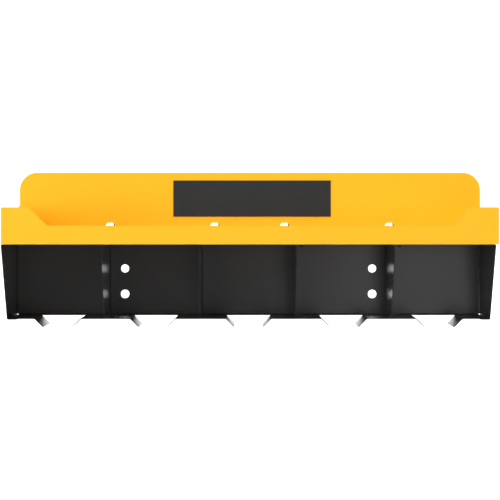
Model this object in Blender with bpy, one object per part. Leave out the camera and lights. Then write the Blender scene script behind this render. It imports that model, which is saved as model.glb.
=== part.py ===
# Wall mounted power tool organizer.
# A yellow shelf tray is screwed on a black sheet-metal rack with five bays for power tools.
# Seen from the front, +X is to the right, +Y points into the wall and +Z is up.
# The origin lies on the wall's surface, in the middle of the four lower wall holes.
import math

import bmesh
import bpy
from mathutils import Matrix, Vector

# Folded steel sheet
SHEET = 0.0008  # thickness of every folded piece
BEND_RADIUS = 0.0014  # inside radius of the folds
CORNER_RELIEF = 0.0004  # slit cut where two folds meet
FIT_GAP = 0.0003  # between faces that lie on each other
BEND_STEPS = 5
WELD = 0.000001  # points closer than this are one corner

# Rack
TOP_DEPTH = 0.190  # from the wall to the upper front corner of a side panel
BACK_STRIP = 0.020  # from the wall to the back ends of the slots
SLOT_DEPTH = 0.1016  # from a slot's back end to the plate's front edge
BAY_HEIGHT = 0.118  # from the bottom plate up to the top flanges
BACK_RISE = 0.060  # of the back panel above the top flanges
SIDE_GAP = 0.0023  # between a side panel and the edges of the folded body
SIDE_FLANGE = 0.0154  # widths are measured over the fold
DIVIDER_FLANGE = 0.017
BACK_FLANGE = 0.016
BACK_FLANGE_DROP = 0.0135  # from a divider's top down to its back flange

# Slots for the tools
SLOT_COUNT = 5
SLOT_PITCH = 0.1508
END_MARGIN = 0.004  # of the rack beyond its outer bays
SLOT_WIDTH = 0.0736  # between the fold lines of the two lips
LIP_LENGTH = 0.0184  # flat part of a lip
LIP_ANGLE = math.radians(45)
DIVIDER_OFFSET = -0.001  # of a divider's sheet from the middle between two slots

# Wall holes and wall slots
HOLE_SPACING = 0.4064
HOLE_PITCH = 0.0419
HOLE_HEIGHT = 0.0541  # middle of the four holes above the bottom plate
UPPER_HOLE_DIAMETER = 0.0131
LOWER_HOLE_DIAMETER = 0.0139
WALL_SLOT_SPACINGS = (0.4588, 0.1147)  # outer pair and inner pair, centre to centre
WALL_SLOT_HEIGHT = 0.1451  # above the bottom plate
WALL_SLOT_WIDTH = 0.0144
WALL_SLOT_TALL = 0.0131
WALL_SLOT_CORNER = 0.0044
TRAY_SLOT_DROP = 0.0015  # the tray's slots lie a little below the rack's

# Shelf tray
APRON_OVERHANG = 0.0132  # from the side panels' front corners to the apron's outer face
TRAY_SHIFT = 0.0022  # the tray sits a little to the right on its rack
TRAY_BACK_HEIGHT = 0.1144  # heights are over the floor's underside
TRAY_BACK_INSET = 0.0002  # from an end wall's fold line to the edge of the back
TRAY_BACK_CORNER = 0.0286
APRON_HEIGHT = 0.0287
APRON_END_HEIGHT = 0.0571
APRON_END_WIDTH = 0.0428
APRON_SLOPE_RUN = 0.0282
APRON_CORNER = 0.004
WALL_CORNER = 0.002

# Label plate on the tray's back
LABEL_WIDTH = 0.259
LABEL_HEIGHT = 0.0597
LABEL_THICKNESS = 0.0006
LABEL_CORNER = 0.0005
LABEL_SHIFT = 0.0035  # to the right of the tray's middle
LABEL_BOTTOM = 0.0418  # above the floor's underside

# Screws and nuts between the tray's floor and the rack's top flanges
SCREW_SHANK = 0.003
SCREW_LENGTH = 0.006
HEAD_DIAMETER = 0.0057
HEAD_HEIGHT = 0.00165
HEAD_RIM = 0.0005
SOCKET_ACROSS_FLATS = 0.002
SOCKET_DEPTH = 0.001
NUT_ACROSS_FLATS = 0.0055
NUT_HEIGHT = 0.0024
CLEAR_HOLE = SCREW_SHANK + 2 * FIT_GAP
SCREW_BACK_INSET = 0.035  # from the wall
SCREW_FRONT_INSET = 0.030  # from the side panels' upper front corners

# Smoothness
CORNER_STEPS = 8
HOLE_STEPS = 48
SCREW_STEPS = 16
CROWN_STEPS = 4
SMOOTH_ANGLE = math.radians(30)
OVERRUN = 0.003  # of a cutter past the faces that it cuts

# Worked out from the sizes above
RACK_WIDTH = SLOT_COUNT * SLOT_PITCH + 2 * END_MARGIN
TRAY_WIDTH = RACK_WIDTH
TRAY_DEPTH = TOP_DEPTH + APRON_OVERHANG
HALF = SHEET / 2
MID_RADIUS = BEND_RADIUS + HALF
SETBACK = BEND_RADIUS + SHEET  # from a fold's outer face to its fold line
FLANGE_REACH = SETBACK + CORNER_RELIEF - SHEET - FIT_GAP  # past its fold, to the next flange
BACK_FACE = 2 * SHEET + FIT_GAP  # front face of the back panel, from the wall
BOTTOM_DEPTH = BACK_STRIP + SLOT_DEPTH
BODY_HALF_WIDTH = RACK_WIDTH / 2 - SHEET - SIDE_GAP
FOOT_DROP = 2 * SHEET + FIT_GAP  # underside of a side panel's foot, below the plate's top
TRAY_REAR = BACK_FACE + FIT_GAP  # rear face of the tray, from the wall
UNDER_HEAD = FIT_GAP + SHEET + FIT_GAP  # of a screw, above the top flanges
NUT_TOP = -(SHEET + FIT_GAP)


def clear_scene():
    for thing in list(bpy.data.objects):
        bpy.data.objects.remove(thing, do_unlink=True)


def paint(name, colour, roughness, metallic=0.0):
    material = bpy.data.materials.new(name)
    material.use_nodes = True
    shader = material.node_tree.nodes["Principled BSDF"]
    shader.inputs["Base Color"].default_value = (*colour, 1.0)
    shader.inputs["Roughness"].default_value = roughness
    shader.inputs["Metallic"].default_value = metallic
    return material


def frame_point(name, location):
    empty = bpy.data.objects.new(name, None)
    empty.location = location
    bpy.context.scene.collection.objects.link(empty)
    return empty


def add_object(name, mesh, material, parent, location=(0, 0, 0)):
    thing = bpy.data.objects.new(name, mesh)
    if not mesh.materials:
        mesh.materials.append(material)
    thing.parent = parent
    thing.location = location
    bpy.context.scene.collection.objects.link(thing)
    return thing


def finish_mesh(name, work):
    mesh = bpy.data.meshes.new(name)
    work.to_mesh(mesh)
    work.free()
    return mesh


# Outlines in a plane: a corner is (u, v), or (u, v, radius) where it is rounded
def rounded(corners):
    points = []
    for i, corner in enumerate(corners):
        here = Vector(corner[:2])
        radius = corner[2] if len(corner) > 2 else 0
        if not radius:
            points.append(here)
            continue
        back = Vector(corners[i - 1][:2]) - here
        ahead = Vector(corners[(i + 1) % len(corners)][:2]) - here
        half_angle = back.angle(ahead) / 2
        radius = min(radius, min(back.length, ahead.length) * math.tan(half_angle) / 2)
        back.normalize()
        ahead.normalize()
        centre = here + (back + ahead).normalized() * radius / math.sin(half_angle)
        start = here + back * radius / math.tan(half_angle) - centre
        turn = math.copysign(math.pi - 2 * half_angle, ahead.cross(back))
        for step in range(CORNER_STEPS + 1):
            points.append(centre + Matrix.Rotation(turn * step / CORNER_STEPS, 2) @ start)
    return points


def circle(diameter, steps=HOLE_STEPS):
    angles = [math.tau * (step + 0.5) / steps for step in range(steps)]
    return [Vector((math.cos(angle), math.sin(angle))) * diameter / 2 for angle in angles]


def rounded_box(width, tall, radius):
    x, y = width / 2, tall / 2
    return rounded([(-x, -y, radius), (x, -y, radius), (x, y, radius), (-x, y, radius)])


class Plane:
    # Middle plane of a flat stretch of sheet; its normal is u x v, on the inner side
    def __init__(self, origin, u, v):
        self.origin = Vector(origin)
        self.u = Vector(u)
        self.v = Vector(v)
        self.normal = self.u.cross(self.v)

    def at(self, point):
        return self.origin + self.u * point[0] + self.v * point[1]


class FoldedSheet:
    # Corners lie on the sheet's middle surface, each with the normal of its inner face
    def __init__(self):
        self.points = []
        self.normals = []
        self.faces = []
        self.known = {}

    def corner(self, point, normal):
        key = tuple(round(value / WELD) for value in point)
        if key not in self.known:
            self.known[key] = len(self.points)
            self.points.append(point)
            self.normals.append(normal)
        return self.known[key]

    def panel(self, plane, outline):
        self.faces.append([self.corner(plane.at(point), plane.normal) for point in outline])

    def fold(self, plane, first, last, angle):
        # The fold line runs from first to last with the panel on its left.
        # A positive angle folds towards the normal. Returns the plane past the fold,
        # with u from last to first and v away from the fold line.
        start, end = plane.at(first), plane.at(last)
        along = (end - start).normalized()
        out = along.cross(plane.normal)
        side = math.copysign(1, angle)
        rows = []
        for step in range(BEND_STEPS + 1):
            turned = abs(angle) * step / BEND_STEPS
            forward = out * math.sin(turned) * MID_RADIUS
            aside = plane.normal * (1 - math.cos(turned)) * MID_RADIUS * side
            normal = plane.normal * math.cos(turned) - out * math.sin(turned) * side
            ends = (start + forward + aside, end + forward + aside)
            rows.append([self.corner(point, normal) for point in ends])
        for (a, b), (c, d) in zip(rows, rows[1:]):
            self.faces.append([b, a, c, d])
        run = out * math.cos(angle) + plane.normal * math.sin(angle)
        return Plane(end + forward + aside, -along, run)

    def flange(self, plane, first, last, angle, length, before=0, after=0):
        # before and after are what the flange runs on past last and past first
        width = (Vector(last) - Vector(first)).length
        outline = [(0, 0), (width, 0), (width + after, length), (-before, length)]
        if after:
            outline.insert(2, (width + after, 0))
        if before:
            outline.append((-before, 0))
        self.panel(self.fold(plane, first, last, angle), outline)

    def mesh(self, name):
        work = bmesh.new()
        pairs = list(zip(self.points, self.normals))
        inner = [work.verts.new(point + normal * HALF) for point, normal in pairs]
        outer = [work.verts.new(point - normal * HALF) for point, normal in pairs]
        edges = set()
        for face in self.faces:
            work.faces.new([inner[i] for i in face])
            work.faces.new([outer[i] for i in reversed(face)])
            edges.update(zip(face, face[1:] + face[:1]))
        for a, b in sorted(edges):
            if (b, a) not in edges:
                work.faces.new((outer[a], outer[b], inner[b], inner[a]))
        return finish_mesh(name, work)


def prism(work, outline, plane, low, high):
    near = [work.verts.new(plane.at(point) + plane.normal * low) for point in outline]
    far = [work.verts.new(plane.at(point) + plane.normal * high) for point in outline]
    work.faces.new(far)
    work.faces.new(list(reversed(near)))
    count = len(outline)
    for i in range(count):
        j = (i + 1) % count
        work.faces.new((near[i], near[j], far[j], far[i]))


def cutter(name, parent, shapes):
    # A shape is (outline, plane, low, high)
    work = bmesh.new()
    for shape in shapes:
        prism(work, *shape)
    tool = bpy.data.objects.new(name, finish_mesh(name, work))
    tool.parent = parent
    tool.hide_render = True
    tool.display_type = "WIRE"
    bpy.context.scene.collection.objects.link(tool)
    return tool


def cut(target, tool):
    modifier = target.modifiers.new("cut_" + tool.name, "BOOLEAN")
    modifier.operation = "DIFFERENCE"
    modifier.solver = "EXACT"
    modifier.object = tool


def front_depth(height):
    # Depth of the sloping front edge of the side panels and dividers
    share = (height + FOOT_DROP) / (BAY_HEIGHT + FOOT_DROP)
    return BOTTOM_DEPTH + (TOP_DEPTH - BOTTOM_DEPTH) * share


def slot_centres():
    middle = (SLOT_COUNT - 1) / 2
    return [(i - middle) * SLOT_PITCH for i in range(SLOT_COUNT)]


def divider_places():
    middle = SLOT_COUNT / 2
    mids = [(i - middle) * SLOT_PITCH for i in range(1, SLOT_COUNT)]
    return [mid + DIVIDER_OFFSET - HALF for mid in mids]


def screw_places():
    side = RACK_WIDTH / 2 - (SETBACK + SIDE_FLANGE) / 2
    across = [-side, side]
    across += [place + (SETBACK + DIVIDER_FLANGE) / 2 for place in divider_places()]
    depths = (-SCREW_BACK_INSET, SCREW_FRONT_INSET - TOP_DEPTH)
    return [(x, y) for x in sorted(across) for y in depths]


# Heights in the rack are counted from the top of its bottom plate
def rack_body():
    sheet = FoldedSheet()
    mid_y = -(BACK_FACE - HALF)
    fold_z = BEND_RADIUS
    half = BODY_HALF_WIDTH
    top = BAY_HEIGHT + BACK_RISE
    back = Plane((0, mid_y, 0), (1, 0, 0), (0, 0, 1))
    sheet.panel(back, [(-half, fold_z), (half, fold_z), (half, top), (-half, top)])
    plate = sheet.fold(back, (-half, fold_z), (half, fold_z), math.pi / 2)
    # Across the plate u runs from the right edge to the left, and v from the fold to the front
    fold_depth = -mid_y + MID_RADIUS
    front = BOTTOM_DEPTH - fold_depth
    slot_end = BACK_STRIP - fold_depth
    outline = [(0, 0), (2 * half, 0)]
    lips = []
    for centre in slot_centres():
        left = half - centre + SLOT_WIDTH / 2
        right = half - centre - SLOT_WIDTH / 2
        lips.append(((left, front), (left, slot_end + CORNER_RELIEF)))
        lips.append(((right, slot_end + CORNER_RELIEF), (right, front)))
        outline += [*lips[-2], (left, slot_end), (right, slot_end), *lips[-1]]
    outline.insert(2, (2 * half, front))
    outline.append((0, front))
    sheet.panel(plate, outline)
    for first, last in lips:
        sheet.flange(plate, first, last, -LIP_ANGLE, LIP_LENGTH)
    return sheet.mesh("rack_body")


def web_outline(back_line, low, high):
    # Seen from +X: y to the right, z up; notches keep the folds apart at the back corners
    notch = back_line - CORNER_RELIEF
    low_end, high_end = low + CORNER_RELIEF, high - CORNER_RELIEF
    return [
        (-front_depth(low), low),
        (notch, low),
        (notch, low_end),
        (back_line, low_end),
        (back_line, high_end),
        (notch, high_end),
        (notch, high),
        (-front_depth(high), high),
    ]


def side_panel():
    # Left panel, x counted from its outer face
    sheet = FoldedSheet()
    web = Plane((HALF, 0, 0), (0, 1, 0), (0, 0, 1))
    outline = web_outline(-SETBACK, SETBACK - FOOT_DROP, BAY_HEIGHT - SETBACK)
    sheet.panel(web, outline)
    flat = SIDE_FLANGE - SETBACK
    quarter = math.pi / 2
    sheet.flange(web, outline[0], outline[1], quarter, flat, before=FLANGE_REACH)
    sheet.flange(web, outline[3], outline[4], quarter, flat, after=FLANGE_REACH)
    sheet.flange(web, outline[6], outline[7], quarter, flat)
    return sheet.mesh("left_side_panel")


def mirrored(mesh, name):
    twin = mesh.copy()
    twin.name = name
    twin.transform(Matrix.Scale(-1, 4, (1, 0, 0)))
    twin.flip_normals()
    return twin


def divider():
    # x is counted from its left face; all flanges are folded to the right
    sheet = FoldedSheet()
    web = Plane((HALF, 0, 0), (0, 1, 0), (0, 0, 1))
    rear = -(BACK_FACE + FIT_GAP)
    back_line = rear - SETBACK
    outline = web_outline(back_line, FIT_GAP + SETBACK, BAY_HEIGHT - SETBACK)
    flange_top = BAY_HEIGHT - BACK_FLANGE_DROP
    # Above the back flange the sheet reaches straight back to the panel
    outline[4:6] = [
        (back_line, flange_top),
        (back_line, flange_top + CORNER_RELIEF),
        (rear, flange_top + CORNER_RELIEF),
        (rear, outline[5][1]),
        (back_line - CORNER_RELIEF, outline[5][1]),
    ]
    sheet.panel(web, outline)
    flat = DIVIDER_FLANGE - SETBACK
    back_flat = BACK_FLANGE - SETBACK
    quarter = math.pi / 2
    sheet.flange(web, outline[0], outline[1], quarter, flat, before=FLANGE_REACH)
    sheet.flange(web, outline[3], outline[4], quarter, back_flat, after=FLANGE_REACH)
    sheet.flange(web, outline[-2], outline[-1], quarter, flat)
    return sheet.mesh("divider")


# Heights in the tray are counted from the underside of its floor, x from its middle
def apron_outline(fold_length):
    beyond = SETBACK + CORNER_RELIEF
    high = APRON_END_HEIGHT - SETBACK
    low = APRON_HEIGHT - SETBACK
    step = APRON_END_WIDTH - beyond
    right = [
        (fold_length, 0),
        (fold_length + CORNER_RELIEF, 0),
        (fold_length + CORNER_RELIEF, -SETBACK),
        (fold_length + beyond, -SETBACK),
        (fold_length + beyond, high, WALL_CORNER),
        (fold_length - step, high, APRON_CORNER),
        (fold_length - step - APRON_SLOPE_RUN, low, APRON_CORNER),
    ]
    left = [(fold_length - corner[0], *corner[1:]) for corner in reversed(right)]
    return rounded(right + left)


def shelf_tray():
    sheet = FoldedSheet()
    side = TRAY_WIDTH / 2 - SETBACK
    front = -TRAY_DEPTH + SETBACK
    back = -(TRAY_REAR + SETBACK)
    slit = CORNER_RELIEF
    rear_half = side - TRAY_BACK_INSET
    floor = Plane((0, 0, HALF), (1, 0, 0), (0, 1, 0))
    outline = [
        (-side + slit, front),
        (side - slit, front),
        (side - slit, front + slit),
        (side, front + slit),
        (side, back - slit),
        (rear_half, back - slit),
        (rear_half, back),
        (-rear_half, back),
        (-rear_half, back - slit),
        (-side, back - slit),
        (-side, front + slit),
        (-side + slit, front + slit),
    ]
    sheet.panel(floor, outline)
    quarter = math.pi / 2
    fold_length = 2 * (side - slit)
    apron = sheet.fold(floor, outline[0], outline[1], quarter)
    sheet.panel(apron, apron_outline(fold_length))
    rear = sheet.fold(floor, outline[6], outline[7], quarter)
    top = TRAY_BACK_HEIGHT - SETBACK
    rear_outline = [
        (0, 0),
        (2 * rear_half, 0),
        (2 * rear_half, top, TRAY_BACK_CORNER),
        (0, top, TRAY_BACK_CORNER),
    ]
    sheet.panel(rear, rounded(rear_outline))
    wall_length = (back - slit) - (front + slit)
    to_front = SETBACK + slit - SHEET - FIT_GAP
    to_back = SETBACK + slit
    wall_top = APRON_END_HEIGHT - SETBACK
    # On the right wall u runs from back to front, on the left wall from front to back
    ends = (((3, 4), to_back, to_front), ((9, 10), to_front, to_back))
    for (first, last), before, after in ends:
        wall = sheet.fold(floor, outline[first], outline[last], quarter)
        wall_outline = [
            (0, 0),
            (wall_length, 0),
            (wall_length + after, 0),
            (wall_length + after, wall_top, WALL_CORNER),
            (-before, wall_top, WALL_CORNER),
            (-before, 0),
        ]
        sheet.panel(wall, rounded(wall_outline))
    return sheet.mesh("shelf_tray")


def label_plate():
    # x from the tray's middle, its rear face at y = 0
    outline = rounded_box(LABEL_WIDTH, LABEL_HEIGHT, LABEL_CORNER)
    work = bmesh.new()
    middle = Plane((0, 0, LABEL_HEIGHT / 2), (1, 0, 0), (0, 0, 1))
    prism(work, outline, middle, 0, LABEL_THICKNESS)
    return finish_mesh("label_plate", work)


def hexagon(across_flats):
    radius = across_flats / math.sqrt(3)
    angles = [math.tau * step / 6 for step in range(6)]
    return [Vector((math.cos(angle), math.sin(angle))) * radius for angle in angles]


def screw_profile():
    # Radius and height from the tip to the crown, height 0 under the head
    rim = HEAD_DIAMETER / 2
    points = [(0, -SCREW_LENGTH), (SCREW_SHANK / 2, -SCREW_LENGTH), (SCREW_SHANK / 2, 0)]
    points += [(rim, 0), (rim, HEAD_RIM)]
    # The crown is an ellipse that ends above the screw's axis
    rise = HEAD_HEIGHT - HEAD_RIM
    for step in range(1, CROWN_STEPS):
        angle = math.pi / 2 * step / CROWN_STEPS
        points.append((rim * math.cos(angle), HEAD_RIM + rise * math.sin(angle)))
    points.append((0, HEAD_HEIGHT))
    return points


def turned(work, profile):
    # Rings of points round the vertical axis, closed at both ends
    rings = []
    for radius, height in profile:
        count = SCREW_STEPS if radius else 1
        ring = []
        for step in range(count):
            angle = math.tau * step / count
            offset = Vector((math.cos(angle) * radius, math.sin(angle) * radius, height))
            ring.append(work.verts.new(offset))
        rings.append(ring)
    for lower, upper in zip(rings, rings[1:]):
        for step in range(SCREW_STEPS):
            following = (step + 1) % SCREW_STEPS
            if len(lower) == 1:
                work.faces.new((lower[0], upper[following], upper[step]))
            elif len(upper) == 1:
                work.faces.new((lower[step], lower[following], upper[0]))
            else:
                work.faces.new((lower[step], lower[following], upper[following], upper[step]))


def tray_screw():
    # Height 0 under the head
    work = bmesh.new()
    turned(work, screw_profile())
    return finish_mesh("tray_screw", work)


def tray_nut():
    # Height 0 at its upper face
    work = bmesh.new()
    flat = Plane((0, 0, 0), (1, 0, 0), (0, 1, 0))
    prism(work, hexagon(NUT_ACROSS_FLATS), flat, -NUT_HEIGHT, 0)
    return finish_mesh("tray_nut", work)


def wall_cut(outline, x, z):
    spot = Plane((x, 0, z), (1, 0, 0), (0, 0, 1))
    depth = TRAY_REAR + SHEET + OVERRUN
    return (outline, spot, -OVERRUN, depth)


def wall_slot_cuts(height):
    outline = rounded_box(WALL_SLOT_WIDTH, WALL_SLOT_TALL, WALL_SLOT_CORNER)
    places = [side * span / 2 for span in WALL_SLOT_SPACINGS for side in (-1, 1)]
    return [wall_cut(outline, x, height) for x in places]


def wall_hole_cuts():
    cuts = []
    for diameter, side in ((UPPER_HOLE_DIAMETER, 1), (LOWER_HOLE_DIAMETER, -1)):
        outline = circle(diameter)
        height = HOLE_HEIGHT + side * HOLE_PITCH / 2
        cuts += [wall_cut(outline, x, height) for x in (-HOLE_SPACING / 2, HOLE_SPACING / 2)]
    return cuts


def screw_hole_cuts():
    outline = circle(CLEAR_HOLE, SCREW_STEPS)
    low = NUT_TOP - NUT_HEIGHT - OVERRUN
    high = FIT_GAP + SHEET + OVERRUN
    cuts = []
    for x, y in screw_places():
        cuts.append((outline, Plane((x, y, BAY_HEIGHT), (1, 0, 0), (0, 1, 0)), low, high))
    return cuts


def socket_cuts():
    outline = hexagon(SOCKET_ACROSS_FLATS)
    crown = BAY_HEIGHT + UNDER_HEAD + HEAD_HEIGHT
    cuts = []
    for x, y in screw_places():
        spot = Plane((x, y, crown), (1, 0, 0), (0, 1, 0))
        cuts.append((outline, spot, -SOCKET_DEPTH, OVERRUN))
    return cuts


def build():
    clear_scene()
    black = paint("black_powder_coat", (0.012, 0.012, 0.013), 0.38)
    yellow = paint("yellow_powder_coat", (0.98, 0.53, 0.028), 0.42)
    charcoal = paint("label_charcoal", (0.040, 0.040, 0.042), 0.45)
    oxide = paint("black_oxide_steel", (0.045, 0.045, 0.048), 0.42, 0.9)
    rack = frame_point("rack_frame", (0, 0, -HOLE_HEIGHT))
    tray_floor = BAY_HEIGHT + FIT_GAP
    tray = frame_point("tray_frame", (TRAY_SHIFT, 0, tray_floor - HOLE_HEIGHT))

    wall_slots = cutter("rack_wall_slots", rack, wall_slot_cuts(WALL_SLOT_HEIGHT))
    wall_holes = cutter("rack_wall_holes", rack, wall_hole_cuts())
    screw_holes = cutter("screw_holes", rack, screw_hole_cuts())
    sockets = cutter("screw_sockets", rack, socket_cuts())
    tray_slot_height = WALL_SLOT_HEIGHT - TRAY_SLOT_DROP - tray_floor
    tray_slots = cutter("tray_wall_slots", tray, wall_slot_cuts(tray_slot_height))

    body = add_object("rack_body", rack_body(), black, rack)
    cut(body, wall_slots)
    cut(body, wall_holes)
    panel = side_panel()
    edge = RACK_WIDTH / 2
    left = add_object("left_side_panel", panel, black, rack, (-edge, 0, 0))
    other = mirrored(panel, "right_side_panel")
    right = add_object("right_side_panel", other, black, rack, (edge, 0, 0))
    flanged = [left, right]
    divider_mesh = divider()
    for number, place in enumerate(divider_places(), 1):
        name = "divider_" + str(number)
        flanged.append(add_object(name, divider_mesh, black, rack, (place, 0, 0)))
    shelf = add_object("shelf_tray", shelf_tray(), yellow, tray)
    cut(shelf, tray_slots)
    label_y = -(TRAY_REAR + SHEET + FIT_GAP)
    add_object("label_plate", label_plate(), charcoal, tray, (LABEL_SHIFT, label_y, LABEL_BOTTOM))
    screw_mesh, nut_mesh = tray_screw(), tray_nut()
    nuts = []
    for number, (x, y) in enumerate(screw_places(), 1):
        label = "_" + str(number)
        place = (x, y, BAY_HEIGHT + UNDER_HEAD)
        screw = add_object("tray_screw" + label, screw_mesh, oxide, rack, place)
        cut(screw, sockets)
        place = (x, y, BAY_HEIGHT + NUT_TOP)
        nuts.append(add_object("tray_nut" + label, nut_mesh, oxide, rack, place))
    for holed in [*flanged, shelf, *nuts]:
        cut(holed, screw_holes)
    for mesh in (screw_mesh, shelf.data, body.data, panel, other, divider_mesh):
        mesh.shade_smooth()
        mesh.set_sharp_from_angle(angle=SMOOTH_ANGLE)


build()
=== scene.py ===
# Looks for the wall mounted power tool organizer: a yellow shelf tray on a black steel rack.
import math

import bmesh
import bpy
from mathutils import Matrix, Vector


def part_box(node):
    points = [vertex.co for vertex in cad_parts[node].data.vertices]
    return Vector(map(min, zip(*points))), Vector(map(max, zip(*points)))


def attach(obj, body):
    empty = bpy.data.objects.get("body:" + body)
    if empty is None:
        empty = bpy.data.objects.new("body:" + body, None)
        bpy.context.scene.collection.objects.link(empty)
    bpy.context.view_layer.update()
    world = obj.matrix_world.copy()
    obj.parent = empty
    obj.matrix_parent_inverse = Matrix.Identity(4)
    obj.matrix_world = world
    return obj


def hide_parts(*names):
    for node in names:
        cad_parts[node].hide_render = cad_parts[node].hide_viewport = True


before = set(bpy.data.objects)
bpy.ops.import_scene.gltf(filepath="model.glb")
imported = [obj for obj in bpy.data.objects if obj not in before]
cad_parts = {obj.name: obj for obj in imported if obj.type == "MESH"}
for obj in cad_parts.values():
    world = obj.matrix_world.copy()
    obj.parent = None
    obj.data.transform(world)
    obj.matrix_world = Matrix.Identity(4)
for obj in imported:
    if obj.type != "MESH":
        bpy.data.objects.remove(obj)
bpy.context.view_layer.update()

print("frame loaded")

# Folded steel sheet, the same for all the folded pieces
sheet = {
    "thickness": 0.0008,
    "foldRadius": 0.0014,  # on the inner side
    "foldSteps": 8,
    "slit": 0.0004,  # cut where two folds meet
    "gap": 0.0003,  # between pieces that lie on each other
    "drill": 0.02,  # length of the cutters for holes and slots
    "edgeRound": 0.00012,  # the coat rounds the cut edges
    "edgeSteps": 2,
    "flatAngle": math.radians(1),  # flatter edges are dissolved
    "smoothAngle": math.radians(35),
    "near": 0.00002,  # how closely a picked corner has to match
    "weld": 0.000002,
}
half = sheet["thickness"] / 2
bend = sheet["foldRadius"] + half  # radius of the sheet's middle in a fold
setback = sheet["foldRadius"] + sheet["thickness"]
# how far an edge runs on into a corner, up to the sheet that stands across it
flangeReach = setback + sheet["slit"] - sheet["thickness"] - sheet["gap"]
quarter = math.pi / 2
hexSides = 6


# Selecting and shaping

def deselectAll():
    bpy.ops.object.select_all(action="DESELECT")


def makeActive(piece):
    deselectAll()
    piece.select_set(True)
    bpy.context.view_layer.objects.active = piece


def flatPanel(name, low, high):
    # a rectangle of sheet to start from, thin along the axis where low and high agree
    middle = (Vector(low) + Vector(high)) / 2
    span = Vector(high) - Vector(low)
    flatAxis = min(range(3), key=lambda axis: span[axis])
    turn = ((0, quarter, 0), (quarter, 0, 0), (0, 0, 0))[flatAxis]
    deselectAll()
    bpy.ops.mesh.primitive_plane_add(size=1, rotation=turn)
    piece = bpy.context.object
    piece.name = piece.data.name = name
    bpy.ops.object.transform_apply(location=False, rotation=True, scale=False)
    piece.scale = [span[axis] if axis != flatAxis else 1 for axis in range(3)]
    piece.location = middle
    bpy.ops.object.transform_apply(location=True, rotation=False, scale=True)
    bpy.ops.object.mode_set(mode="EDIT")
    return piece


def pick(piece, kind, low, high):
    # selects the verts, edges or faces that lie wholly in a box
    bpy.ops.mesh.select_mode(type=kind)
    bpy.ops.mesh.select_all(action="DESELECT")
    work = bmesh.from_edit_mesh(piece.data)
    for item in {"VERT": work.verts, "EDGE": work.edges, "FACE": work.faces}[kind]:
        points = [item.co] if kind == "VERT" else [vert.co for vert in item.verts]
        lowest = [min(point[axis] for point in points) for axis in range(3)]
        highest = [max(point[axis] for point in points) for axis in range(3)]
        above = all(lowest[axis] > low[axis] - sheet["near"] for axis in range(3))
        below = all(highest[axis] < high[axis] + sheet["near"] for axis in range(3))
        item.select_set(above and below)
    work.select_flush_mode()
    bmesh.update_edit_mesh(piece.data)


def sliceAt(axis, places):
    # new edges across the sheet, where it is cut or folded next
    for place in places:
        point, normal = Vector(), Vector()
        point[axis] = place
        normal[axis] = 1
        bpy.ops.mesh.select_all(action="SELECT")
        bpy.ops.mesh.bisect(plane_co=point, plane_no=normal)


def removeFaces(piece, low, high):
    pick(piece, "FACE", low, high)
    bpy.ops.mesh.delete(type="FACE")


def stretch(move):
    bpy.ops.mesh.extrude_region_move(TRANSFORM_OT_translate={"value": move})


def stretchEdge(piece, low, high, move):
    pick(piece, "EDGE", low, high)
    stretch(move)


def foldEdge(piece, low, high, hinge, axis, angle, flat):
    # bends the picked edge round the hinge line, then draws the flat part of the flange
    pick(piece, "EDGE", low, high)
    bpy.ops.mesh.spin(steps=sheet["foldSteps"], angle=angle, center=hinge, axis=axis)
    stretch(flat)


def roundCorners(piece, places, radius, steps, angle=quarter):
    # angle is what the outline turns through at the corner
    for place in places:
        pick(piece, "VERT", place, place)
        offset = radius * math.tan(angle / 2)
        bpy.ops.mesh.bevel(offset=offset, segments=steps, affect="VERTICES")


def cleanSheet():
    bpy.ops.mesh.select_mode(type="VERT")
    bpy.ops.mesh.select_all(action="SELECT")
    bpy.ops.mesh.remove_doubles(threshold=sheet["weld"])
    bpy.ops.mesh.dissolve_limited(angle_limit=sheet["flatAngle"])
    bpy.ops.mesh.select_all(action="SELECT")
    bpy.ops.mesh.normals_make_consistent(inside=False)


def applyModifier(piece, kind, **values):
    makeActive(piece)
    modifier = piece.modifiers.new(kind.lower(), kind)
    for name, value in values.items():
        setattr(modifier, name, value)
    bpy.ops.object.modifier_apply(modifier=modifier.name)


def thicken(piece):
    bpy.ops.object.mode_set(mode="OBJECT")
    applyModifier(piece, "SOLIDIFY", thickness=sheet["thickness"], offset=0,
                  use_even_offset=True)


def cutAway(piece, cutter, operation="DIFFERENCE"):
    applyModifier(piece, "BOOLEAN", object=cutter, operation=operation, solver="EXACT")
    bpy.data.objects.remove(cutter)


def softenEdges(piece, width, steps):
    applyModifier(piece, "BEVEL", width=width, segments=steps, limit_method="ANGLE",
                  angle_limit=sheet["smoothAngle"], use_clamp_overlap=False)
    makeActive(piece)
    bpy.ops.object.shade_smooth_by_angle(angle=sheet["smoothAngle"])
    applyModifier(piece, "WEIGHTED_NORMAL", keep_sharp=True)


def joinAll(parts):
    deselectAll()
    for part in parts:
        part.select_set(True)
    bpy.context.view_layer.objects.active = parts[0]
    bpy.ops.object.join()
    return parts[0]


def roundPins(places, diameter, length, steps, turn=(0, 0, 0)):
    # a cutter for round holes
    pins = []
    for place in places:
        deselectAll()
        bpy.ops.mesh.primitive_cylinder_add(vertices=steps, radius=diameter / 2, depth=length,
                                            location=place, rotation=turn)
        bpy.ops.object.transform_apply(location=True, rotation=True, scale=True)
        pins.append(bpy.context.object)
    return joinAll(pins)


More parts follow.
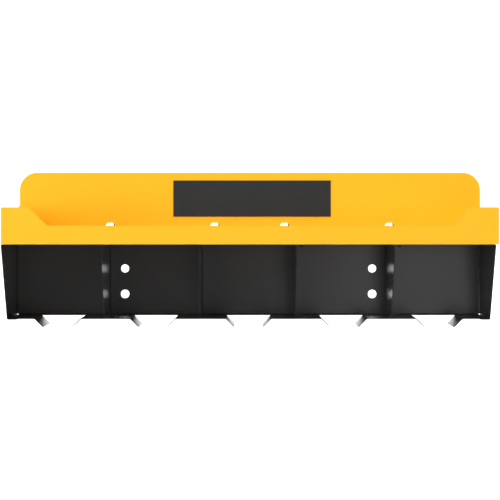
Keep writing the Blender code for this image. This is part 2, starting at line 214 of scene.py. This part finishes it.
def slotBlocks(places, size, corner, steps):
    # a cutter for wall slots, with its four edges along Y rounded
    blocks = []
    for place in places:
        deselectAll()
        bpy.ops.mesh.primitive_cube_add(size=1, location=place)
        block = bpy.context.object
        block.scale = size
        bpy.ops.object.transform_apply(location=True, rotation=False, scale=True)
        bpy.ops.object.mode_set(mode="EDIT")
        bpy.ops.mesh.select_mode(type="EDGE")
        bpy.ops.mesh.select_all(action="DESELECT")
        work = bmesh.from_edit_mesh(block.data)
        for edge in work.edges:
            start, end = edge.verts
            edge.select_set(abs(start.co.y - end.co.y) > size[1] / 2)
        bmesh.update_edit_mesh(block.data)
        bpy.ops.mesh.bevel(offset=corner, segments=steps, affect="EDGES")
        bpy.ops.object.mode_set(mode="OBJECT")
        blocks.append(block)
    return joinAll(blocks)


def dress(piece, material, slot, *nodes):
    piece.data.materials.clear()
    piece.data.materials.append(material)
    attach(piece, "root")
    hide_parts(*nodes)


# Materials

grain = {
    "peelDetail": 2,
    "peelDepth": 0.00002,
    "cloudScale": 14,
    "cloudDetail": 3,
}


def makePowderGroup():
    # the fine orange peel of a powder coat, with a slow change of its shade and gloss
    group = bpy.data.node_groups.new("powderCoat", "ShaderNodeTree")
    sockets = {
        "Light Colour": ("INPUT", "NodeSocketColor"),
        "Dark Colour": ("INPUT", "NodeSocketColor"),
        "Peel Scale": ("INPUT", "NodeSocketFloat"),
        "Peel Height": ("INPUT", "NodeSocketFloat"),
        "Low Roughness": ("INPUT", "NodeSocketFloat"),
        "High Roughness": ("INPUT", "NodeSocketFloat"),
        "Colour": ("OUTPUT", "NodeSocketColor"),
        "Roughness": ("OUTPUT", "NodeSocketFloat"),
        "Normal": ("OUTPUT", "NodeSocketVector"),
    }
    for name, (side, kind) in sockets.items():
        group.interface.new_socket(name=name, in_out=side, socket_type=kind)
    nodes, link = group.nodes, group.links.new
    given = nodes.new("NodeGroupInput")
    result = nodes.new("NodeGroupOutput")
    place = nodes.new("ShaderNodeTexCoord")
    peel = nodes.new("ShaderNodeTexNoise")
    peel.inputs["Detail"].default_value = grain["peelDetail"]
    link(place.outputs["Object"], peel.inputs["Vector"])
    link(given.outputs["Peel Scale"], peel.inputs["Scale"])
    bump = nodes.new("ShaderNodeBump")
    bump.inputs["Distance"].default_value = grain["peelDepth"]
    link(given.outputs["Peel Height"], bump.inputs["Strength"])
    link(peel.outputs["Fac"], bump.inputs["Height"])
    cloud = nodes.new("ShaderNodeTexNoise")
    cloud.inputs["Scale"].default_value = grain["cloudScale"]
    cloud.inputs["Detail"].default_value = grain["cloudDetail"]
    link(place.outputs["Object"], cloud.inputs["Vector"])
    tone = nodes.new("ShaderNodeMix")
    tone.data_type = "RGBA"
    link(cloud.outputs["Fac"], tone.inputs["Factor"])
    link(given.outputs["Dark Colour"], tone.inputs["A"])
    link(given.outputs["Light Colour"], tone.inputs["B"])
    gloss = nodes.new("ShaderNodeMapRange")
    link(cloud.outputs["Fac"], gloss.inputs["Value"])
    link(given.outputs["Low Roughness"], gloss.inputs["To Min"])
    link(given.outputs["High Roughness"], gloss.inputs["To Max"])
    link(tone.outputs["Result"], result.inputs["Colour"])
    link(gloss.outputs["Result"], result.inputs["Roughness"])
    link(bump.outputs["Normal"], result.inputs["Normal"])
    return group


def makeCoat(name, group, look):
    material = bpy.data.materials.new(name)
    material.use_nodes = True
    nodes, link = material.node_tree.nodes, material.node_tree.links.new
    shader = nodes["Principled BSDF"]
    coat = nodes.new("ShaderNodeGroup")
    coat.node_tree = group
    coat.inputs["Light Colour"].default_value = (*look["light"], 1)
    coat.inputs["Dark Colour"].default_value = (*look["dark"], 1)
    coat.inputs["Peel Scale"].default_value = look["peelScale"]
    coat.inputs["Peel Height"].default_value = look["peelHeight"]
    coat.inputs["Low Roughness"].default_value = look["roughness"][0]
    coat.inputs["High Roughness"].default_value = look["roughness"][1]
    link(coat.outputs["Colour"], shader.inputs["Base Color"])
    link(coat.outputs["Roughness"], shader.inputs["Roughness"])
    link(coat.outputs["Normal"], shader.inputs["Normal"])
    shader.inputs["Metallic"].default_value = look["metallic"]
    shader.inputs["IOR"].default_value = look["ior"]
    return material


blackLook = {
    "light": (0.0252, 0.026, 0.0282), "dark": (0.0228, 0.0236, 0.0256),
    "peelScale": 900, "peelHeight": 0.1, "roughness": (0.235, 0.265), "metallic": 0, "ior": 1.5,
}
yellowLook = {
    "light": (0.98, 0.52, 0.019), "dark": (0.97, 0.51, 0.017),
    "peelScale": 900, "peelHeight": 0.12, "roughness": (0.4, 0.5), "metallic": 0, "ior": 1.3,
}
labelLook = {
    "light": (0.0238, 0.032, 0.0425), "dark": (0.021, 0.0285, 0.038),
    "peelScale": 2500, "peelHeight": 0.08, "roughness": (0.65, 0.75), "metallic": 0, "ior": 1.25,
}
oxideLook = {
    "light": (0.05, 0.05, 0.054), "dark": (0.035, 0.035, 0.038),
    "peelScale": 3000, "peelHeight": 0.15, "roughness": (0.36, 0.5), "metallic": 0.9, "ior": 1.5,
}
powder = makePowderGroup()
blackCoat = makeCoat("blackPowderCoat", powder, blackLook)
yellowCoat = makeCoat("yellowPowderCoat", powder, yellowLook)
labelFace = makeCoat("labelCharcoal", powder, labelLook)
blackOxide = makeCoat("blackOxideSteel", powder, oxideLook)
print("materials ready")

# Rack body: the back panel and the slotted bottom plate, one folded sheet
rack = {
    "slots": 5,
    "slotPitch": 0.1508,
    "slotWidth": 0.0736,  # between the fold lines of the two lips
    "slotEnd": -0.020,  # Y of the slots' back ends
    "lipFlat": 0.0184,
    "lipAngle": math.pi / 4,
    "holeSpacing": 0.4064,
    "holeRows": ((0.02095, 0.0131), (-0.02095, 0.0139)),  # height and diameter
    "holeSteps": 64,
    "wallSlotPlaces": (-0.2294, -0.05735, 0.05735, 0.2294),
    "wallSlotHeight": 0.0910,
    "wallSlotWidth": 0.0144,
    "wallSlotTall": 0.0131,
    "wallSlotCorner": 0.0044,
    "wallSlotSteps": 10,
}


def cutWallSlots(piece, shift, height, depth):
    places = [(x + shift, depth, height) for x in rack["wallSlotPlaces"]]
    size = (rack["wallSlotWidth"], sheet["drill"], rack["wallSlotTall"])
    cutAway(piece, slotBlocks(places, size, rack["wallSlotCorner"], rack["wallSlotSteps"]))


def makeRackBody():
    low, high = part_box("rack_body")
    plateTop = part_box("divider_1")[0].z - sheet["gap"]
    level = plateTop - half
    wallY = high.y - half
    rear = wallY - bend
    piece = flatPanel("rackBody", (low.x, low.y, level), (high.x, rear, level))
    centres = [(i - (rack["slots"] - 1) / 2) * rack["slotPitch"] for i in range(rack["slots"])]
    sides = [(centre, turn) for centre in centres for turn in (-1, 1)]
    sliceAt(0, [centre + turn * rack["slotWidth"] / 2 for centre, turn in sides])
    lipEnd = rack["slotEnd"] - sheet["slit"]
    sliceAt(1, [rack["slotEnd"], lipEnd])
    for centre in centres:
        left = centre - rack["slotWidth"] / 2
        right = centre + rack["slotWidth"] / 2
        removeFaces(piece, (left, low.y, level), (right, rack["slotEnd"], level))
    for centre, turn in sides:
        x = centre + turn * rack["slotWidth"] / 2
        angle = rack["lipAngle"]
        run = rack["lipFlat"] * math.cos(angle)
        drop = rack["lipFlat"] * math.sin(angle)
        foldEdge(piece, (x, low.y, level), (x, lipEnd, level), (x, 0, level - bend),
                 (0, 1, 0), turn * angle, (-turn * run, 0, -drop))
    foldEdge(piece, (low.x, rear, level), (high.x, rear, level), (0, rear, level + bend),
             (1, 0, 0), -quarter, (0, 0, high.z - level - bend))
    cleanSheet()
    thicken(piece)
    for height, diameter in rack["holeRows"]:
        for side in (-1, 1):
            place = (side * rack["holeSpacing"] / 2, wallY, height)
            cutAway(piece, roundPins([place], diameter, sheet["drill"], rack["holeSteps"],
                                     (quarter, 0, 0)))
    cutWallSlots(piece, 0, rack["wallSlotHeight"], wallY)
    softenEdges(piece, sheet["edgeRound"], sheet["edgeSteps"])
    dress(piece, blackCoat, "black_powder_coat", "rack_body")


makeRackBody()
print("rack body made")

# Screws and nuts: their places come from the frame
fasteners = {
    "count": 12,
    "hole": 0.0036,
    "holeSteps": 32,
}


def fastenerPlaces():
    boxes = [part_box("tray_screw_" + str(number + 1)) for number in range(fasteners["count"])]
    return [(low + high) / 2 for low, high in boxes]


def drillScrewHoles(piece, low, high):
    # only for the screws that pass through the box of this piece
    inside = [place for place in fastenerPlaces() if low.x < place.x < high.x]
    cutAway(piece, roundPins(inside, fasteners["hole"], sheet["drill"], fasteners["holeSteps"]))


# Side panels and dividers: a web with flanges at its foot, back and top
web = {
    "dividers": 4,
    "backFlange": 0.016,  # of a divider, over its fold
    "backFlangeDrop": 0.0135,  # from a divider's top
}


def slopeCut(foot, tip):
    # trims the sloping front edge; its ends are given as (y, z)
    along = Vector(tip) - Vector(foot)
    bpy.ops.mesh.select_all(action="SELECT")
    bpy.ops.mesh.bisect(plane_co=(0, *foot), plane_no=(0, along.y, -along.x), clear_inner=True)


def startWeb(name, low, high, back):
    # the flat web between its fold lines, notched at the two back corners
    x = low.x + half
    bottom, top = low.z + half + bend, high.z - half - bend
    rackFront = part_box("rack_body")[0].y
    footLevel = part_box("left_side_panel")[0].z
    piece = flatPanel(name, (x, low.y, bottom), (x, back, top))
    slopeCut((rackFront, footLevel), (low.y, top))
    notch = back - sheet["slit"]
    sliceAt(1, [notch])
    sliceAt(2, [bottom + sheet["slit"], top - sheet["slit"]])
    removeFaces(piece, (x, notch, bottom), (x, back, bottom + sheet["slit"]))
    removeFaces(piece, (x, notch, top - sheet["slit"]), (x, back, top))
    return piece, x, bottom, top, notch


def foldFootAndTop(piece, x, bottom, top, notch, low, high):
    flat = high.x - x - bend
    for level, way in ((bottom, 1), (top, -1)):
        foldEdge(piece, (x, low.y, level), (x, notch, level), (x + bend, 0, level), (0, 1, 0),
                 way * quarter, (flat, 0, 0))
    foot = bottom - bend
    stretchEdge(piece, (x + bend, notch, foot), (high.x, notch, foot), (0, flangeReach, 0))


def makeSidePanel():
    low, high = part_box("left_side_panel")
    wallY = high.y - half
    back = wallY - bend
    piece, x, bottom, top, notch = startWeb("leftSidePanel", low, high, back)
    foldFootAndTop(piece, x, bottom, top, notch, low, high)
    flat = high.x - x - bend
    start, end = bottom + sheet["slit"], top - sheet["slit"]
    foldEdge(piece, (x, back, start), (x, back, end), (x + bend, back, 0), (0, 0, 1),
             quarter, (flat, 0, 0))
    stretchEdge(piece, (x + bend, wallY, start), (high.x, wallY, start), (0, 0, -flangeReach))
    cleanSheet()
    return piece


def finishWeb(piece, low, high, node):
    thicken(piece)
    drillScrewHoles(piece, low, high)
    softenEdges(piece, sheet["edgeRound"], sheet["edgeSteps"])
    dress(piece, blackCoat, "black_powder_coat", node)


def makeSidePanels():
    left = makeSidePanel()
    bpy.ops.object.mode_set(mode="OBJECT")
    makeActive(left)
    bpy.ops.object.duplicate()
    right = bpy.context.object
    right.name = right.data.name = "rightSidePanel"
    right.scale.x = -1
    bpy.ops.object.transform_apply(location=False, rotation=False, scale=True)
    for piece, node in ((left, "left_side_panel"), (right, "right_side_panel")):
        makeActive(piece)
        bpy.ops.object.mode_set(mode="EDIT")
        bpy.ops.mesh.select_all(action="SELECT")
        bpy.ops.mesh.normals_make_consistent(inside=False)
        finishWeb(piece, *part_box(node), node)


def makeDivider():
    low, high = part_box("divider_1")
    wallY = high.y - half
    back = wallY - bend
    piece, x, bottom, top, notch = startWeb("divider1", low, high, back)
    flangeTop = high.z - web["backFlangeDrop"]
    sliceAt(2, [flangeTop, flangeTop + sheet["slit"]])
    foldFootAndTop(piece, x, bottom, top, notch, low, high)
    flat = web["backFlange"] - setback
    start = bottom + sheet["slit"]
    foldEdge(piece, (x, back, start), (x, back, flangeTop), (x + bend, back, 0), (0, 0, 1),
             quarter, (flat, 0, 0))
    stretchEdge(piece, (x + bend, wallY, start), (x + bend + flat, wallY, start),
                (0, 0, -flangeReach))
    # above the back flange the web runs on to the panel
    stretchEdge(piece, (x, back, flangeTop + sheet["slit"]), (x, back, top - sheet["slit"]),
                (0, high.y - back, 0))
    cleanSheet()
    return piece, low, high


def makeDividers():
    first, low, high = makeDivider()
    finishWeb(first, low, high, "divider_1")
    for number in range(2, web["dividers"] + 1):
        makeActive(first)
        bpy.ops.object.duplicate()
        piece = bpy.context.object
        piece.name = piece.data.name = "divider" + str(number)
        node = "divider_" + str(number)
        piece.location.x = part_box(node)[0].x - low.x
        bpy.ops.object.transform_apply(location=True, rotation=False, scale=False)
        dress(piece, blackCoat, "black_powder_coat", node)


makeSidePanels()
print("side panels made")
makeDividers()
print("dividers made")

# Shelf tray: floor, apron, back and two low end walls, one folded sheet
tray = {
    "apronHeight": 0.0287,  # heights are over the floor's underside
    "endHeight": 0.0571,
    "endWidth": 0.0428,  # of the apron's raised ends
    "slopeRun": 0.0282,
    "apronCorner": 0.004,
    "wallCorner": 0.002,
    "backCorner": 0.0286,
    "backInset": 0.0002,  # from an end wall's fold line to the edge of the back
    "cornerSteps": 8,
    "backCornerSteps": 16,
    "wallSlotDrop": 0.0015,  # its wall slots lie a little below the rack's
}


def makeTray():
    low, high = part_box("shelf_tray")
    level = low.z + half
    centre = (low.x + high.x) / 2
    left, right = low.x + half + bend, high.x - half - bend
    front, back = low.y + half + bend, high.y - half - bend
    slit, inset = sheet["slit"], tray["backInset"]
    piece = flatPanel("shelfTray", (left, front, level), (right, back, level))
    sliceAt(0, [left + slit, left + inset, right - inset, right - slit])
    sliceAt(1, [front + slit, back - slit])
    for x0, x1 in ((left, left + slit), (right - slit, right)):
        removeFaces(piece, (x0, front, level), (x1, front + slit, level))
    for x0, x1 in ((left, left + inset), (right - inset, right)):
        removeFaces(piece, (x0, back - slit, level), (x1, back, level))
    foldStart = level + bend
    endTop = low.z + tray["endHeight"]
    apronTop = low.z + tray["apronHeight"]
    # apron
    apronY = low.y + half
    foldEdge(piece, (left + slit, front, level), (right - slit, front, level),
             (0, front, foldStart), (1, 0, 0), quarter, (0, 0, endTop - foldStart))
    for edge, way in ((left + slit, -1), (right - slit, 1)):
        stretchEdge(piece, (edge, apronY, foldStart), (edge, apronY, endTop), (way * slit, 0, 0))
        stretch((way * setback, 0, 0))
        corners = sorted((edge + way * slit, edge + way * (slit + setback)))
        stretchEdge(piece, (corners[0], apronY, foldStart), (corners[1], apronY, foldStart),
                    (0, 0, -setback))
    trimApron(piece, low, high, apronY, apronTop, endTop)
    # back
    backY = high.y - half
    foldEdge(piece, (left + inset, back, level), (right - inset, back, level),
             (0, back, foldStart), (1, 0, 0), -quarter, (0, 0, high.z - foldStart))
    halfBack = (right - left) / 2 - inset
    # end walls
    for edge, wallX, way in ((left, low.x + half, 1), (right, high.x - half, -1)):
        foldEdge(piece, (edge, front + slit, level), (edge, back - slit, level),
                 (edge, 0, foldStart), (0, 1, 0), -way * quarter, (0, 0, endTop - foldStart))
        stretchEdge(piece, (wallX, front + slit, foldStart), (wallX, front + slit, endTop),
                    (0, -flangeReach, 0))
        stretchEdge(piece, (wallX, back - slit, foldStart), (wallX, back - slit, endTop),
                    (0, setback + slit, 0))
    cleanSheet()
    roundTray(piece, low, high, (apronY, backY), (apronTop, endTop), halfBack)
    bpy.ops.mesh.select_all(action="SELECT")
    bpy.ops.mesh.normals_make_consistent(inside=False)
    thicken(piece)
    cutWallSlots(piece, centre, rack["wallSlotHeight"] - tray["wallSlotDrop"], backY)
    drillScrewHoles(piece, low, high)
    softenEdges(piece, sheet["edgeRound"], sheet["edgeSteps"])
    dress(piece, yellowCoat, "yellow_powder_coat", "shelf_tray")


def trimApron(piece, low, high, y, apronTop, endTop):
    # cuts the apron down between its two raised ends
    sliceAt(2, [apronTop])
    for side, way in ((low.x, 1), (high.x, -1)):
        shoulder = side + way * tray["endWidth"]
        foot = shoulder + way * tray["slopeRun"]
        along = Vector((foot - shoulder, 0, apronTop - endTop))
        bpy.ops.mesh.select_all(action="SELECT")
        bpy.ops.mesh.bisect(plane_co=(shoulder, y, endTop), plane_no=(along.z, 0, -along.x))
    # the faces of the raised ends reach further out than the ones to remove
    centre = (low.x + high.x) / 2
    limit = high.x - centre - tray["endWidth"] / 2
    work = bmesh.from_edit_mesh(piece.data)
    bpy.ops.mesh.select_mode(type="FACE")
    bpy.ops.mesh.select_all(action="DESELECT")
    for face in work.faces:
        above = face.calc_center_median().z > apronTop
        reach = max(abs(vert.co.x - centre) for vert in face.verts)
        face.select_set(above and reach < limit)
    bmesh.update_edit_mesh(piece.data)
    bpy.ops.mesh.delete(type="FACE")


def roundTray(piece, low, high, depths, tops, halfBack):
    apronY, backY = depths
    apronTop, endTop = tops
    centre = (low.x + high.x) / 2
    for side, way in ((low.x, 1), (high.x, -1)):
        shoulder = side + way * tray["endWidth"]
        foot = shoulder + way * tray["slopeRun"]
        turn = math.atan2(endTop - apronTop, tray["slopeRun"])
        roundCorners(piece, [(shoulder, apronY, endTop), (foot, apronY, apronTop)],
                     tray["apronCorner"], tray["cornerSteps"], turn)
        roundCorners(piece, [(side, apronY, endTop)], tray["wallCorner"], tray["cornerSteps"])
        wallX = side + way * half
        wallEnds = (low.y + sheet["thickness"] + sheet["gap"], high.y)
        corners = [(wallX, y, endTop) for y in wallEnds]
        roundCorners(piece, corners, tray["wallCorner"], tray["cornerSteps"])
        roundCorners(piece, [(centre - way * halfBack, backY, high.z)], tray["backCorner"],
                     tray["backCornerSteps"])


makeTray()
print("shelf tray made")

# Label plate on the tray's back, left bare
label = {"corner": 0.0005, "cornerSteps": 4, "edgeRound": 0.00015}


def makeLabel():
    low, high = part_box("label_plate")
    piece = slotBlocks([(low + high) / 2], high - low, label["corner"], label["cornerSteps"])
    piece.name = piece.data.name = "labelPlate"
    softenEdges(piece, label["edgeRound"], sheet["edgeSteps"])
    dress(piece, labelFace, "label_charcoal", "label_plate")


makeLabel()
print("label plate made")

# Button head screw and hexagon nut, made once each and copied
screw = {
    "shank": 0.003,
    "head": 0.0057,
    "rim": 0.0005,  # height of the head's straight rim
    "crown": 0.00115,  # from the rim to the crown's top
    "crownSteps": 6,
    "crownFlat": 0.35,  # radius of the flat top, as a share of the head's
    "socket": 0.002,  # across the flats
    "socketDepth": 0.001,
    "steps": 32,
    "threadPitch": 0.0005,
    "threadDepth": 0.0003,
    "edgeRound": 0.0001,
}
nut = {"acrossFlats": 0.0055, "bore": 0.0032, "chamfer": 0.0004, "steps": 48, "edgeRound": 0.00008}


def hexRadius(acrossFlats):
    return acrossFlats / math.sqrt(3)


def makeScrew(low, high):
    middle = (low + high) / 2
    underHead = high.z - screw["crown"] - screw["rim"]
    deselectAll()
    length = underHead - low.z
    bpy.ops.mesh.primitive_cylinder_add(
        vertices=screw["steps"], radius=screw["shank"] / 2, depth=length,
        location=(middle.x, middle.y, low.z + length / 2))
    piece = bpy.context.object
    piece.name = piece.data.name = "trayScrew1"
    bpy.ops.object.transform_apply(location=True, rotation=False, scale=False)
    bpy.ops.object.mode_set(mode="EDIT")
    # thread: every second ring is drawn in
    turns = int(length / screw["threadPitch"])
    crests = [low.z + screw["threadPitch"] * (step + 0.5) for step in range(turns)]
    roots = [crest + screw["threadPitch"] / 2 for crest in crests]
    sliceAt(2, crests + roots)
    reach = screw["shank"]
    shrink = 1 - 2 * screw["threadDepth"] / screw["shank"]
    for root in roots + [low.z]:
        pick(piece, "EDGE", (middle.x - reach, middle.y - reach, root),
             (middle.x + reach, middle.y + reach, root))
        bpy.ops.transform.resize(value=(shrink, shrink, 1))
    # head: the top face widened, drawn up and closed in along an ellipse
    pick(piece, "FACE", (middle.x - reach, middle.y - reach, underHead),
         (middle.x + reach, middle.y + reach, underHead))
    widen = screw["head"] / screw["shank"]
    bpy.ops.mesh.extrude_region_move()
    bpy.ops.transform.resize(value=(widen, widen, 1))
    stretch((0, 0, screw["rim"]))
    width, height = 1, 0
    last = math.acos(screw["crownFlat"])
    for step in range(1, screw["crownSteps"] + 1):
        angle = last * step / screw["crownSteps"]
        newWidth = math.cos(angle)
        newHeight = screw["crown"] * math.sin(angle) / math.sin(last)
        stretch((0, 0, newHeight - height))
        bpy.ops.transform.resize(value=(newWidth / width, newWidth / width, 1))
        width, height = newWidth, newHeight
    bpy.ops.object.mode_set(mode="OBJECT")
    deselectAll()
    bpy.ops.mesh.primitive_cylinder_add(
        vertices=hexSides, radius=hexRadius(screw["socket"]), depth=2 * screw["socketDepth"],
        location=(middle.x, middle.y, high.z))
    bpy.ops.object.transform_apply(location=True, rotation=False, scale=False)
    cutAway(piece, bpy.context.object)
    softenEdges(piece, screw["edgeRound"], sheet["edgeSteps"])
    return piece


def makeNut(low, high):
    middle = (low + high) / 2
    height = high.z - low.z
    deselectAll()
    bpy.ops.mesh.primitive_cylinder_add(vertices=hexSides, radius=hexRadius(nut["acrossFlats"]),
                                        depth=height, location=middle, rotation=(0, 0, quarter))
    piece = bpy.context.object
    piece.name = piece.data.name = "trayNut1"
    bpy.ops.object.transform_apply(location=True, rotation=True, scale=False)
    # the turned chamfers at both ends: what is left inside a bevelled drum
    deselectAll()
    bpy.ops.mesh.primitive_cylinder_add(vertices=nut["steps"], depth=height, location=middle,
                                        radius=hexRadius(nut["acrossFlats"]))
    drum = bpy.context.object
    bpy.ops.object.transform_apply(location=True, rotation=False, scale=False)
    applyModifier(drum, "BEVEL", width=nut["chamfer"], segments=1, limit_method="ANGLE",
                  angle_limit=quarter / 2)
    cutAway(piece, drum, "INTERSECT")
    cutAway(piece, roundPins([middle], nut["bore"], 2 * height, nut["steps"]))
    softenEdges(piece, nut["edgeRound"], sheet["edgeSteps"])
    return piece


def copyFastener(first, name, node, number, firstPlace):
    piece = first
    if number > 1:
        makeActive(first)
        bpy.ops.object.duplicate()
        piece = bpy.context.object
        piece.name = piece.data.name = name + str(number)
        piece.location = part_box(node + str(number))[0] - firstPlace
        bpy.ops.object.transform_apply(location=True, rotation=False, scale=False)
    dress(piece, blackOxide, "black_oxide_steel", node + str(number))


def makeFasteners():
    makers = ((makeScrew, "trayScrew", "tray_screw_"), (makeNut, "trayNut", "tray_nut_"))
    for make, name, node in makers:
        low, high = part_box(node + "1")
        first = make(low, high)
        for number in range(1, fasteners["count"] + 1):
            copyFastener(first, name, node, number, low)


makeFasteners()
print("screws and nuts made")

# Floor, lights and camera
stage = {
    "floorMiddle": (0, -1, -1.52),
    "floorSize": 9,
    "floorGlow": 0.45,  # what the camera sees on top of the floor's own light
    "backdropMiddle": (0, 4, 0),
    "backdropSize": 14,
    "colour": (0.95, 0.95, 0.95),
    "roughness": 0.9,
    "surround": 0.06,  # the room's light on the object
    "aim": (0, 0, 0.05),  # the point that all the lamps face
}
lamps = {
    # name: place, size, watts
    "frontRight": ((0.58, -3.15, 0.05), (0.66, 2), 7.6),
    "frontMiddle": ((-0.42, -3.17, 0.05), (1.42, 2), 2.7),
    "frontLeft": ((-4.78, -4.95, 1.1), (2.1, 4.06), 350),
    "overhead": ((1.17, -0.5, 2.77), (1.4, 1.4), 114),
    "behind": ((0, 2.2, 1.4), (3, 1.4), 66),
}
view = {
    "place": (0.0023, -2.8419, 0.11385),
    "lens": 124.27,
    "sensor": 36,
    "shift": -0.076,  # the camera looks level, and the picture is shifted
}


def stageMaterial(name, rays, glow):
    # plain pale surface that looks lighter to the given kinds of ray and lights nothing
    material = bpy.data.materials.new(name)
    material.use_nodes = True
    nodes, link = material.node_tree.nodes, material.node_tree.links.new
    shader = nodes["Principled BSDF"]
    shader.inputs["Base Color"].default_value = (*stage["colour"], 1)
    shader.inputs["Roughness"].default_value = stage["roughness"]
    shader.inputs["Emission Color"].default_value = (1, 1, 1, 1)
    path = nodes.new("ShaderNodeLightPath")
    seen = path.outputs[rays[0]]
    for ray in rays[1:]:
        either = nodes.new("ShaderNodeMath")
        either.operation = "MAXIMUM"
        link(seen, either.inputs[0])
        link(path.outputs[ray], either.inputs[1])
        seen = either.outputs["Value"]
    strength = nodes.new("ShaderNodeMath")
    strength.operation = "MULTIPLY"
    strength.inputs[1].default_value = glow
    link(seen, strength.inputs[0])
    link(strength.outputs["Value"], shader.inputs["Emission Strength"])
    return material


def makeFloor():
    deselectAll()
    bpy.ops.mesh.primitive_plane_add(size=stage["floorSize"], location=stage["floorMiddle"])
    floor = bpy.context.object
    floor.name = "floor"
    floor.data.materials.append(stageMaterial("paleFloor", ("Is Camera Ray",), stage["floorGlow"]))
    floor.visible_glossy = False


def makeBackdrop():
    # plain white behind the object, for the eye and in the gloss of the coat
    deselectAll()
    bpy.ops.mesh.primitive_plane_add(size=stage["backdropSize"], rotation=(quarter, 0, 0),
                                     location=stage["backdropMiddle"])
    backdrop = bpy.context.object
    backdrop.name = "backdrop"
    rays = ("Is Camera Ray", "Is Glossy Ray", "Is Transmission Ray")
    backdrop.data.materials.append(stageMaterial("whiteBackdrop", rays, 1))


def makeWorld():
    # white behind the object for the camera, a quiet grey room for the light
    world = bpy.data.worlds.new("studio")
    bpy.context.scene.world = world
    world.use_nodes = True
    nodes, link = world.node_tree.nodes, world.node_tree.links.new
    background = nodes["Background"]
    path = nodes.new("ShaderNodeLightPath")
    level = nodes.new("ShaderNodeMapRange")
    level.inputs["To Min"].default_value = stage["surround"]
    level.inputs["To Max"].default_value = 1
    link(path.outputs["Is Camera Ray"], level.inputs["Value"])
    background.inputs["Color"].default_value = (1, 1, 1, 1)
    link(level.outputs["Result"], background.inputs["Strength"])


def addLamp(name, place, size, watts):
    light = bpy.data.lights.new(name, "AREA")
    light.shape = "RECTANGLE"
    light.size, light.size_y = size
    light.energy = watts
    lamp = bpy.data.objects.new(name, light)
    lamp.location = place
    facing = Vector(stage["aim"]) - Vector(place)
    lamp.rotation_euler = facing.to_track_quat("-Z", "Y").to_euler()
    bpy.context.scene.collection.objects.link(lamp)
    lamp.visible_camera = False


def makeCamera():
    camera = bpy.data.objects.new("camera", bpy.data.cameras.new("camera"))
    camera.location = view["place"]
    camera.rotation_euler = (quarter, 0, 0)
    camera.data.lens = view["lens"]
    camera.data.sensor_width = view["sensor"]
    camera.data.shift_y = view["shift"]
    bpy.context.scene.collection.objects.link(camera)
    bpy.context.scene.camera = camera


makeFloor()
makeBackdrop()
makeWorld()
for lampName, values in lamps.items():
    addLamp(lampName, *values)
makeCamera()
bpy.context.scene.view_settings.view_transform = "Standard"
print("stage ready")
